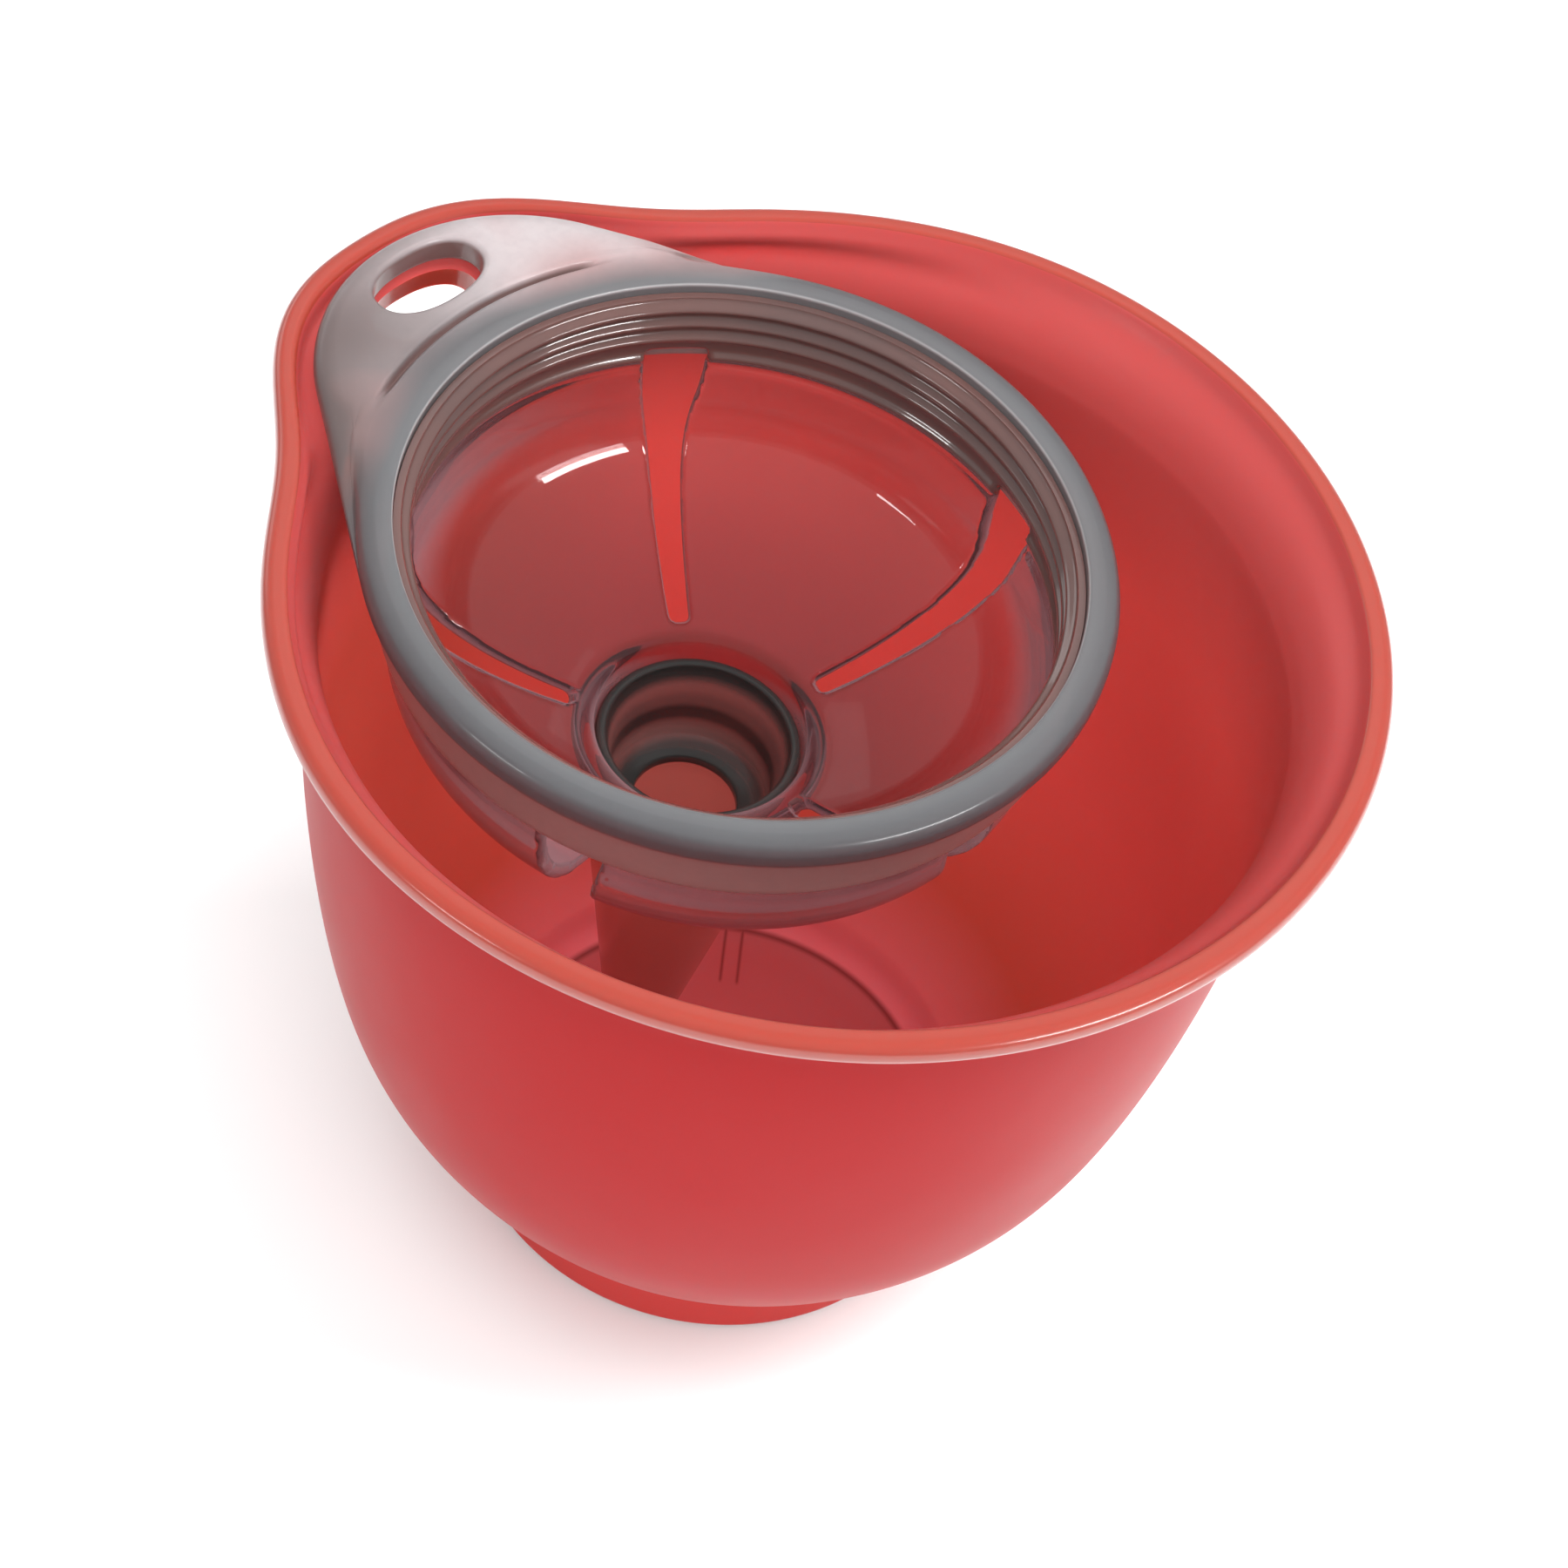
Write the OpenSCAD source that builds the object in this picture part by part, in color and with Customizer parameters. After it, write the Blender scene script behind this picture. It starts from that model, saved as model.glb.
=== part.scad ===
// A mixing bowl with a hanging tab, and a slotted separator cup that hangs in it by its handle.
// Origin: middle of the face the bowl stands on. +Z is up and the tabs point to +Y. Millimetres.

/* [Bowl] */
// Radius of the bowl's rim, away from the tab
rim_r = 75; // [70:0.5:80]
// Height of the rim above the table
bowl_h = 121.3; // [116:0.1:126]
// Thickness of the bowl's wall
wall_t = 2.2; // [1.8:0.1:2.6]
// Outer radius of the wall just under the rim
wall_r = 66.4; // [65.6:0.1:67.6]
// Radius of the foot ring
foot_r = 36.6; // [36.2:0.1:37]
// Height of the inside floor
floor_z = 8; // [7.6:0.1:8.6]

/* [Bowl tab] */
// How far the tab stands out, as a share of the rim's radius
tab_bulge = 0.19; // [0.185:0.005:0.21]
// Angle over which the tab swells, on each side
tab_half = 23; // [22:0.5:25]
// How far the rim draws in beside the tab, as a share of its radius
waist = 0.055; // [0.03:0.005:0.055]
// Height that the lip stands above the tab's ledge
lip_rise = 2.9; // [2.8:0.1:3.3]

/* [Hanging holes] */
// Length of the oval holes, across the tab
hole_l = 17.5; // [14:0.5:19]
// Width of the oval holes, along the tab
hole_w = 9.6; // [8:0.2:11]

/* [Non-slip base] */
// Outer radius of the soft tray in the foot
base_r = 32.1; // [31.6:0.1:32.3]
// Thickness of the tray's floor
base_t = 2.2; // [1.6:0.1:2.8]
// Number of ribs in the tray
base_ribs = 4; // [3:1:8]

/* [Separator rim] */
// Outer radius of the ring
ring_r = 50; // [49.6:0.1:50.4]
// Inner radius of the ring
ring_in = 45.4; // [45.3:0.1:46]
// Depth of the collar under the ring
collar_h = 14; // [12:0.5:16]
// Thickness of the handle
handle_t = 4.5; // [4:0.1:4.6]
// Radius of the handle's round end
handle_r = 29.3; // [27:0.1:29.5]
// Distance from the ring's centre to the centre of that end
handle_u = 38.7; // [37:0.1:38.9]
// Distance from the ring's centre to the middle of the hole
hole_u = 59.5; // [58:0.1:60]

/* [Slotted cup] */
// Thickness of the cup's wall
cup_t = 2.2; // [1.8:0.1:2.4]
// Depth from the ring's top to the outside of the cup's floor
cup_depth = 42.6; // [41:0.1:43]
// Number of slots
slots = 5; // [3:1:6]
// Width of a slot at the hub
slot_foot_w = 2.8; // [2:0.1:3.4]
// Width of a slot at mid height
slot_mid_w = 4.8; // [3.6:0.1:5.4]
// Width of a slot at its flared top
slot_top_w = 8.8; // [6:0.1:10]
// Depth of the slots' top edge below the ring
slot_z = 11.6; // [11.4:0.1:12.6]

/* [Centre well] */
// Length of the well below the ring's top
well_depth = 106.5; // [90:0.5:107]
// Outer radius of the well where it meets the cup
well_r = 15.9; // [15.7:0.1:16.1]
// Outer radius at the tip
tip_r = 5.1; // [4.8:0.1:6]
// Radius of the opening in the well's ledge
ledge_in = 7.3; // [6:0.1:8]

/* [How the separator hangs] */
// Sideways place of the ring's centre
seat_x = -2.2; // [-2.6:0.1:2.6]
// Place of the ring's centre towards the tab
seat_y = 11.8; // [11:0.1:12]
// Turn of the handle away from the tab
seat_turn = -2.2; // [-2.6:0.1:2.6]
// Droop of the ring's free side
droop = 2.85; // [2.6:0.05:3]
// Direction of the ring's high side, seen from above
droop_dir = 66.8; // [60:0.1:90]

/* [Hidden] */
$fn = 96;
wall_z0 = 10.4;                 // the wall leaves the foot here
wall_z1 = bowl_h - 13.3;        // the wall meets the rim here
curve_z0 = 7.5;
curve_h = bowl_h - 8.8 - curve_z0;
side_draw = 16.5;               // how much the long side curve draws in
corner_draw = 17.25;            // how much the tight lower corner draws in
ledge_z = bowl_h - lip_rise;
rim_steps = 96;
snug = 0.05;                    // gap between pieces pressed together
hub_r = 16.9;
hub_z = -46.5;
plug_r = 14.4;
eq_z = -20.3;                   // the cup is widest here
cup_a = 45;
ridge_pitch = 2.75;

// ---- the bowl's curves ----
function side(z) = min(1, max(0, (z - curve_z0)/curve_h));
function wall_out(z) = wall_r - side_draw*pow(1 - side(z), 1.9) - corner_draw*pow(1 - side(z), 7);
function lean(z) = (wall_out(z + 0.1) - wall_out(z - 0.1))/0.2;
function wall_in(z) = let (m = lean(z), k = wall_t/sqrt(1 + m*m)) [wall_out(z) - k, z + k*m];

// a runs from the tab, anticlockwise seen from above
function tabness(a) = exp(-pow(abs(a)/tab_half, 2.8));
function rim_at(a) = rim_r*(1 + tab_bulge*tabness(a) - waist*exp(-pow(a/65, 4)));

// the rim's section at angle a, as [radius, height]
function rim_section(a) =
    let (r = rim_at(a), wo = wall_out(wall_z1), wi = wall_in(wall_z1)[0], k = tabness(a), h = bowl_h)
    [[wo - 0.7, wall_z1 - 3], [wo - 0.3, wall_z1 + 0.5], [wo + 0.2*(r - wo), h - 8.3 + 2*k], [r - 3.6, h - 5.6],
     [r - 1, h - 4.6], [r, h - 3], [r - 0.2, h - 1.4], [r - 1.1, h - 0.25], [r - 2.3, h],
     [r - 3.5, h - 0.7], [r - 4.4, ledge_z], [wi + 4.2, ledge_z - 1.4 + 1.2*k], [wi + 1, h - 7.8 + 1.2*k],
     [wi + 0.3, wall_z1 + 0.5], [wi + 0.7, wall_z1 - 3]];

function on_rim(a, p) = [-p[0]*sin(a), p[0]*cos(a), p[1]];

module rim() {
    n = rim_steps;
    m = len(rim_section(0));
    points = [for (i = [0:n-1]) for (p = rim_section(i*360/n - 180)) on_rim(i*360/n - 180, p)];
    faces = [for (i = [0:n-1]) for (j = [0:m-1])
        let (a = i*m + j, b = i*m + (j + 1)%m, c = ((i + 1)%n)*m + j, d = ((i + 1)%n)*m + (j + 1)%m)
        each [[a, b, c], [b, d, c]]];
    polyhedron(points, faces);
}

module oval(l, w) {
    for (s = [-1, 1]) translate([s*(l - w)/2, 0]) circle(d = w);
    square([l - w, w], center = true);
}

module seat() {
    translate([seat_x, seat_y, bowl_h])
        rotate(a = droop, v = [sin(droop_dir), -cos(droop_dir), 0])
            rotate([0, 0, seat_turn]) children();
}

module handle_hole(h, grow = 0) {
    translate([0, hole_u, -h]) linear_extrude(2*h) oval(hole_l + grow, hole_w + grow);
}

// ---- bowl ----
module bowl() {
    zs = [for (i = [0:17]) wall_z0 + (wall_z1 - wall_z0)*pow(i/17, 1.5)];
    inner = [for (z = zs) if (wall_in(z)[1] > floor_z + 4 && z < wall_z1) wall_in(z)];
    outline = concat(
        [[base_r + 0.3, 0.8], [foot_r - 0.5, 0.8], [foot_r, 1.5]],
        [for (z = zs) [wall_out(z), z]],
        [[wall_in(wall_z1)[0], wall_z1]],
        [for (i = [len(inner)-1:-1:0]) inner[i]],
        [[33.6, floor_z + 2], [31, floor_z + 0.5], [28, floor_z], [0, floor_z], [0, 5.8], [base_r + 0.3, 5.8]]);
    color("#c93a3e") difference() {
        union() {
            rotate_extrude($fn = 120) polygon(outline);
            rim();
        }
        seat() handle_hole(14);
    }
}

// ---- soft tray in the foot ----
module non_slip_base() {
    rib_l = 8;
    color("#8f2a2c") {
        rotate_extrude() polygon([[0, 0], [base_r - 1, 0], [base_r, 1], [base_r, 5.7], [base_r - 2.4, 5.7],
                                  [base_r - 2.4, base_t], [0, base_t]]);
        for (i = [0:base_ribs-1]) rotate([0, 0, 36 + i*360/base_ribs])
            translate([base_r - 2.6 - rib_l, -1.3, base_t - 0.5]) cube([rib_l + 1, 2.6, 4]);
    }
}

// ---- ring, collar and handle ----
module handle_outline(inset = 0) {
    a = asin((ring_r - handle_r)/handle_u);
    rr = ring_r - inset;
    hr = handle_r - inset;
    circle(rr);
    translate([0, handle_u]) circle(hr);
    polygon([[rr*cos(a), rr*sin(a)], [hr*cos(a), handle_u + hr*sin(a)],
             [-hr*cos(a), handle_u + hr*sin(a)], [-rr*cos(a), rr*sin(a)]]);
}

module separator_rim() {
    color("#84878a") seat() difference() {
        union() {
            rotate_extrude() polygon([[ring_in, 0], [ring_r - 1.6, 0], [ring_r - 0.5, -0.5], [ring_r, -1.6],
                [ring_r, -3.6], [ring_r - 0.5, -4.6], [ring_r - 1.5, -5.2], [ring_r - 2.2, -9],
                [ring_r - 2.9, -collar_h + 0.6], [ring_r - 3.4, -collar_h], [ring_in, -collar_h]]);
            difference() {
                union() {
                    translate([0, 0, -handle_t]) linear_extrude(handle_t - 1.1) handle_outline();
                    translate([0, 0, -1.2]) linear_extrude(0.8) handle_outline(0.4);
                    translate([0, 0, -0.5]) linear_extrude(0.5) handle_outline(1.3);
                }
                cylinder(r = ring_in + 1.5, h = 30, center = true);
            }
        }
        handle_hole(9);
        rotate([0, 0, 68]) rotate_extrude(angle = 44)
            polygon([[ring_r + 0.7, 1], [ring_r + 2.4, 1], [ring_r + 2, -0.5], [ring_r + 1.2, -0.8]]);
    }
}

// ---- five-petal cup ----
function cup_out(z) = cup_a*sqrt(max(0, 1 - pow((z - eq_z)/(cup_depth + eq_z), 2)));
function cup_in(z) = (cup_a - cup_t)*sqrt(max(0, 1 - pow((z - eq_z)/(cup_depth + eq_z - cup_t), 2)));

module cup_body() {
    band_out = ring_in - snug;
    z_in = -cup_depth + cup_t;
    low = [for (i = [1:14]) let (q = i*5) [cup_a*cos(q), eq_z - (cup_depth + eq_z)*sin(q)]];
    top = [for (i = [14:-1:0]) let (q = i*5) [(cup_a - cup_t)*cos(q), eq_z - (eq_z - z_in)*sin(q)]];
    ridges = [for (k = [3:-1:1]) let (z = -k*ridge_pitch - 0.4)
        each [[43.7 + 0.12*(3-k), z - 1], [43.3 + 0.12*(3-k), z], [43.7 + 0.12*(3-k), z + 1]]];
    rotate_extrude() polygon(concat(
        [[band_out, -1.6], [band_out, -collar_h - 0.4], [45.3, -collar_h - 2], [cup_a, eq_z]],
        low, [[hub_r, -41.4], [hub_r, hub_z], [plug_r + snug, hub_z], [plug_r + snug, z_in + 1.5]],
        top, [[42.9, -14], [43.1, -12.4]], ridges, [[44.2, -1.6]]));
}

module slotted_cup() {
    color("#6f6668") seat() difference() {
        cup_body();
        for (i = [0:slots-1]) rotate([0, 0, (i + 0.5)*360/slots]) translate([0, 0, -60])
            linear_extrude(60 - slot_z) polygon([
                [-slot_foot_w/2, 18.5], [slot_foot_w/2, 18.5], [slot_mid_w/2, 36], [slot_mid_w/2 + 0.8, 40.5],
                [slot_top_w/2, 43.5], [slot_top_w/2, 46.5], [-slot_top_w/2, 46.5], [-slot_top_w/2, 43.5],
                [-slot_mid_w/2 - 0.8, 40.5], [-slot_mid_w/2, 36]]);
    }
}

// ---- tapered well under the cup ----
module centre_well() {
    function cone(z) = tip_r + (well_r - tip_r)*(z + well_depth)/(well_depth + hub_z - snug);
    z0 = hub_z - snug;
    color("#5f5052") seat() rotate_extrude() polygon([
        [plug_r, -42], [plug_r, z0], [cone(z0), z0], [cone(-well_depth + 1), -well_depth + 1],
        [tip_r - 0.5, -well_depth], [tip_r - 1.4, -well_depth], [tip_r - 1.4, -well_depth + 2],
        [cone(-58) - 2.2, -58], [ledge_in, -57.6], [ledge_in, -55.6], [10.6, -54.4], [11.4, -52], [11.6, -47],
        [12.6, -43], [13.4, -42]]);
}

bowl();
non_slip_base();
separator_rim();
slotted_cup();
centre_well();
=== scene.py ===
"""A mixing bowl with a hanging tab and, hanging in it, a slotted separator with a ring, a handle and a centre well."""

import math

import bmesh
import bpy
import numpy as np
from mathutils import Matrix, Vector

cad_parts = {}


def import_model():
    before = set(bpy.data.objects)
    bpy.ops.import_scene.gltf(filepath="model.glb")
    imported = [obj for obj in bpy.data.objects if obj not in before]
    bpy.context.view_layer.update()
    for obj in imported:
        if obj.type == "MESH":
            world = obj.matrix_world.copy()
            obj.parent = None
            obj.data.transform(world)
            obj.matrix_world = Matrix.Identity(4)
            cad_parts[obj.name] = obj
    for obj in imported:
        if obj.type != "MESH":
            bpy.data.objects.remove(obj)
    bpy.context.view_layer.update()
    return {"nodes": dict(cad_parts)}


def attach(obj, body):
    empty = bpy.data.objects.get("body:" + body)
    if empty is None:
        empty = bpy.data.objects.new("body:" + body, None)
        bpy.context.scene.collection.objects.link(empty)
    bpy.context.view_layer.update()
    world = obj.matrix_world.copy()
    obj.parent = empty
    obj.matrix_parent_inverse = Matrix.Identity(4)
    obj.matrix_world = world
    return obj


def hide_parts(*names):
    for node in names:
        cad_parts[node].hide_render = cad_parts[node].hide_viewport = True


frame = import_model()

# ---------------------------------------------------------------- sizes, in millimetres, as the solids have them
# the bowl; its wall is drawn in a little more above the foot than the solid's
RIM_R, BOWL_H, WALL_T, WALL_R, FOOT_R, FLOOR_Z = 75.0, 121.3, 2.2, 66.4, 36.6, 8.0
FOOT_Z, TRAY_R, TRAY_Z = 0.8, 32.4, 5.8
BOX_GAP = 0.01  # keeps the rim just inside the solid's
TAB_BULGE, TAB_HALF, WAIST, WAIST_HALF = 0.19, 23.0, 0.055, 65.0  # the half widths are in degrees
WALL_Z0, WALL_Z1, CURVE_Z0, CURVE_H = 11.8, BOWL_H - 13.3, 7.5, BOWL_H - 8.8 - 7.5
SIDE_DRAW, CORNER_DRAW, LOW_TUCK, TUCK_H = 16.5, 17.25, 1.6, 24.0
# the ring with its collar and handle
RING_R, RING_IN, COLLAR_H = 50.0, 45.4, 14.0
HANDLE_T, HANDLE_R, HANDLE_U, HOLE_U, HOLE_L, HOLE_W = 4.5, 29.3, 38.7, 59.5, 17.5, 9.6
GROOVE_HALF = 21.5  # degrees
# the cup
CUP_A, CUP_T, CUP_DEPTH, EQ_Z, HUB_R, HUB_Z, PLUG_R = 45.0, 2.2, 42.6, -20.3, 16.9, -46.5, 14.4
RIDGE_PITCH, RIDGE_HIGH, RIDGE_WIDE, LIP_HIGH, LIP_WIDE, BAND_LOW = 2.75, 1.25, 0.75, 0.8, 0.7, 13.9
SLOTS, SLOT_Z, SLOT_END_R, SLOT_CORNER, CUP_EDGE = 5, 11.6, 18.5, 0.9, 0.75
# the well
WELL_DEPTH, WELL_R, TIP_R, LEDGE_IN = 106.5, 15.9, 5.1, 7.3
# the separator's place
SEAT = Vector((-2.2, 11.8, BOWL_H))
SEAT_TURN, DROOP, DROOP_DIR = math.radians(-2.2), math.radians(2.85), math.radians(66.8)
# how many sections go round the axis
BOWL_STEPS, RING_STEPS, CUP_STEPS, WELL_STEPS, HOLE_STEPS = 540, 640, 720, 192, 96

seat_matrix = (
    Matrix.Translation(SEAT)
    @ Matrix.Rotation(DROOP, 4, Vector((math.sin(DROOP_DIR), -math.cos(DROOP_DIR), 0)))
    @ Matrix.Rotation(SEAT_TURN, 4, "Z")
)


# ---------------------------------------------------------------- mesh helpers
def make_object(name, verts, faces, materials=(), face_materials=None, seat=False):
    """A smooth mesh object from points in millimetres; seat puts it in the hanging separator's place."""
    verts = np.asarray(verts, float)
    if seat:
        m = np.array(seat_matrix)
        verts = verts @ m[:3, :3].T + m[:3, 3]
    mesh = bpy.data.meshes.new(name)
    mesh.from_pydata((verts * 0.001).tolist(), [], faces)
    mesh.update()
    for mat in materials:
        mesh.materials.append(mat)
    if face_materials is not None:
        mesh.polygons.foreach_set("material_index", np.asarray(face_materials, np.int32))
    mesh.polygons.foreach_set("use_smooth", np.ones(len(mesh.polygons), bool))
    obj = bpy.data.objects.new(name, mesh)
    bpy.context.scene.collection.objects.link(obj)
    return obj


def soften(points, times=2, closed=False):
    """Cuts every corner at a quarter and three quarters of its sides. points is (angles, path, 2)."""
    for _ in range(times):
        after = np.roll(points, -1, axis=1)
        a, b = 0.75 * points + 0.25 * after, 0.25 * points + 0.75 * after
        out = np.stack([a, b], axis=2).reshape(points.shape[0], -1, points.shape[2])
        if not closed:
            out = np.concatenate([points[:, :1], out[:, 1:-3], points[:, -1:]], axis=1)
        points = out
    return points


def swept(name, sections, seat=False, closed=True, materials=(), pick=None):
    """Joins sections, one for each angle round the axis, into a closed surface.

    An open path starts and ends on the axis. pick gives each face its material from its place on the path.
    """
    n, m = sections.shape[:2]
    ang = np.arange(n) * 2 * math.pi / n
    rad, height = sections[..., 0], sections[..., 1]
    pts = np.stack([-rad * np.sin(ang)[:, None], rad * np.cos(ang)[:, None], height], axis=2)
    i = np.arange(n)[:, None]
    j = np.arange(m if closed else m - 1)[None, :]
    i2, j2 = (i + 1) % n, (j + 1) % m
    quads = np.stack([i * m + j, i * m + j2, i2 * m + j2, i2 * m + j], axis=2)
    verts = pts.reshape(-1, 3)
    if closed:
        faces = quads.reshape(-1, 4).tolist()
        which = np.broadcast_to(j, quads.shape[:2]).reshape(-1)
    else:
        faces = quads[:, 1:-1].reshape(-1, 4).tolist()
        which = np.broadcast_to(j, quads.shape[:2])[:, 1:-1].reshape(-1)
        for k in range(n):  # fans at the two poles
            k2 = (k + 1) % n
            faces.append([0, k * m + 1, k2 * m + 1])
            faces.append([m - 1, k2 * m + m - 2, k * m + m - 2])
        which = np.concatenate([which, np.tile([0, m - 2], n)])
    return make_object(name, verts, faces, materials, None if pick is None else pick(which), seat)


def tidy(obj):
    """Welds doubled points, drops loose ones and turns all faces outwards."""
    bm = bmesh.new()
    bm.from_mesh(obj.data)
    bmesh.ops.remove_doubles(bm, verts=bm.verts, dist=1e-6)
    loose = [v for v in bm.verts if not v.link_faces]
    bmesh.ops.delete(bm, geom=loose, context="VERTS")
    bmesh.ops.recalc_face_normals(bm, faces=bm.faces)
    bm.to_mesh(obj.data)
    bm.free()
    obj.data.update()


def apply_modifiers(obj):
    """Replaces the object's mesh by what its modifiers make of it."""
    graph = bpy.context.evaluated_depsgraph_get()
    mesh = bpy.data.meshes.new_from_object(obj.evaluated_get(graph), preserve_all_data_layers=True, depsgraph=graph)
    old = obj.data
    obj.modifiers.clear()
    obj.data = mesh
    bpy.data.meshes.remove(old)


def oval_ring(length, width, count):
    """Points round an oval, a little fuller than an ellipse, with the outward direction at each."""
    pts = []
    for k in range(count):
        t = 2 * math.pi * k / count
        c, s = math.cos(t), math.sin(t)
        x = length / 2 * math.copysign(abs(c) ** 0.9, c)
        y = width / 2 * math.copysign(abs(s) ** 0.9, s)
        nx, ny = x / length**2, y / width**2
        d = math.hypot(nx, ny)
        pts.append((x, y, nx / d, ny / d))
    return np.array(pts)


def hole_cutter(levels, material):
    """An oval plug, in the separator's frame. levels is a list of (height, how much wider on each side)."""
    n = HOLE_STEPS
    base = oval_ring(HOLE_L, HOLE_W, n)
    verts = []
    for z, grow in levels:
        for x, y, nx, ny in base:
            verts.append((x + grow * nx, HOLE_U + y + grow * ny, z))
    faces = []
    for a in range(len(levels) - 1):
        for k in range(n):
            k2 = (k + 1) % n
            faces.append([a * n + k, a * n + k2, (a + 1) * n + k2, (a + 1) * n + k])
    faces.append(list(range(n))[::-1])
    faces.append([(len(levels) - 1) * n + k for k in range(n)])
    return make_object("cutter", verts, faces, [material], seat=True)


def cut(obj, cutter):
    """Cuts the plug out of obj, with smooth normals that follow the large faces."""
    mod = obj.modifiers.new("cut", "BOOLEAN")
    mod.operation = "DIFFERENCE"
    mod.solver = "EXACT"
    mod.object = cutter
    apply_modifiers(obj)
    mesh = cutter.data
    bpy.data.objects.remove(cutter)
    bpy.data.meshes.remove(mesh)
    obj.data.polygons.foreach_set("use_smooth", np.ones(len(obj.data.polygons), bool))


def sharpen(obj, degrees):
    """Keeps edges steeper than this crisp and weights the normals by face area."""
    obj.data.set_sharp_from_angle(angle=math.radians(degrees))
    mod = obj.modifiers.new("normals", "WEIGHTED_NORMAL")
    mod.keep_sharp = True
    mod.weight = 60


# ---------------------------------------------------------------- material helpers
def material(name):
    mat = bpy.data.materials.new(name)
    mat.use_nodes = True
    nt = mat.node_tree
    nt.nodes.clear()
    out = nt.nodes.new("ShaderNodeOutputMaterial")
    return mat, nt, out


def object_coords(nt):
    return nt.nodes.new("ShaderNodeTexCoord").outputs["Object"]


def noise(nt, vector, scale, detail=4.0, rough=0.5):
    n = nt.nodes.new("ShaderNodeTexNoise")
    for key, value in (("Scale", scale), ("Detail", detail), ("Roughness", rough)):
        n.inputs[key].default_value = value
    nt.links.new(vector, n.inputs["Vector"])
    return n.outputs["Fac"]


def ramp(nt, fac, low, high, start=0.0, end=1.0):
    """A value that runs from low to high as fac goes from start to end, and stays there beyond them."""
    m = nt.nodes.new("ShaderNodeMapRange")
    m.inputs["From Min"].default_value, m.inputs["From Max"].default_value = start, end
    m.inputs["To Min"].default_value, m.inputs["To Max"].default_value = low, high
    nt.links.new(fac, m.inputs["Value"])
    return m.outputs["Result"]


def rises(nt, value, start, end):
    """0 up to start and 1 from end on."""
    return ramp(nt, value, 0.0, 1.0, start, end)


def falls(nt, value, start, end):
    """1 up to start and 0 from end on."""
    return ramp(nt, value, 1.0, 0.0, start, end)


def math_node(nt, op, a, b=None):
    m = nt.nodes.new("ShaderNodeMath")
    m.operation = op
    for k, v in enumerate((a, b)):
        if v is None:
            continue
        if isinstance(v, (int, float)):
            m.inputs[k].default_value = v
        else:
            nt.links.new(v, m.inputs[k])
    return m.outputs[0]


def product(nt, first, *others):
    for other in others:
        first = math_node(nt, "MULTIPLY", first, other)
    return first


def axes(nt, coords):
    sep = nt.nodes.new("ShaderNodeSeparateXYZ")
    nt.links.new(coords, sep.inputs[0])
    return sep.outputs


def radius(nt, x, y):
    return math_node(nt, "SQRT", math_node(nt, "ADD", product(nt, x, x), product(nt, y, y)))


def mix_colour(nt, fac, a, b):
    """Colour a where fac is 0 and b where it is 1."""
    m = nt.nodes.new("ShaderNodeMix")
    m.data_type = "RGBA"
    sockets = [s for s in m.inputs if s.enabled]
    for s, v in zip(sockets, (fac, a, b)):
        if isinstance(v, (int, float)):
            s.default_value = v
        elif isinstance(v, tuple):
            s.default_value = (*v, 1)
        else:
            nt.links.new(v, s)
    return [s for s in m.outputs if s.enabled][0]


def bump(nt, height, strength, distance):
    b = nt.nodes.new("ShaderNodeBump")
    b.inputs["Strength"].default_value = strength
    b.inputs["Distance"].default_value = distance
    nt.links.new(height, b.inputs["Height"])
    return b.outputs["Normal"]


def principled(nt, **values):
    p = nt.nodes.new("ShaderNodeBsdfPrincipled")
    for key, value in values.items():
        p.inputs[key.replace("_", " ")].default_value = value
    return p


def see_through(nt, surface, tint, out):
    """Lets lamps and soft light pass the clear plastic, dimmed by its tint, so that what is behind it stays lit."""
    path = nt.nodes.new("ShaderNodeLightPath")
    clear = nt.nodes.new("ShaderNodeBsdfTransparent")
    clear.inputs["Color"].default_value = (*tint, 1)
    mix = nt.nodes.new("ShaderNodeMixShader")
    either = math_node(nt, "MAXIMUM", path.outputs["Is Shadow Ray"], path.outputs["Is Diffuse Ray"])
    nt.links.new(either, mix.inputs[0])
    nt.links.new(surface, mix.inputs[1])
    nt.links.new(clear.outputs[0], mix.inputs[2])
    nt.links.new(mix.outputs[0], out.inputs["Surface"])


# ---------------------------------------------------------------- materials; the places in them are in metres
RIB_TURN = math.radians(36)  # the tray's rib, from +X
HIGH_UP = (0.2, 0.3)  # heights above the whole object, for a band with no upper end


def tray_shade_marks(nt, x, y, z):
    """The soft tray under the bowl's floor, as it shows through: painted shade over it, where the tray keeps light from
    coming up through the floor, and its edge and rib as darker lines.
    """
    low = falls(nt, z, 0.0090, 0.0096)
    rad = radius(nt, x, y)
    disc = product(nt, falls(nt, rad, 0.0312, 0.0318), low)
    edge = product(nt, rises(nt, rad, 0.0306, 0.0313), falls(nt, rad, 0.0313, 0.0322), low)
    c, s = math.cos(RIB_TURN), math.sin(RIB_TURN)
    along = math_node(nt, "ADD", product(nt, x, c), product(nt, y, s))
    across = math_node(nt, "ABSOLUTE", math_node(nt, "SUBTRACT", product(nt, y, c), product(nt, x, s)))
    rib = product(nt, rises(nt, across, 0.0009, 0.0013), falls(nt, across, 0.0013, 0.0017))
    rib = product(nt, rib, rises(nt, along, 0.0208, 0.0216), low, disc)
    return disc, product(nt, math_node(nt, "MAXIMUM", edge, rib), 0.8)


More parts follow.
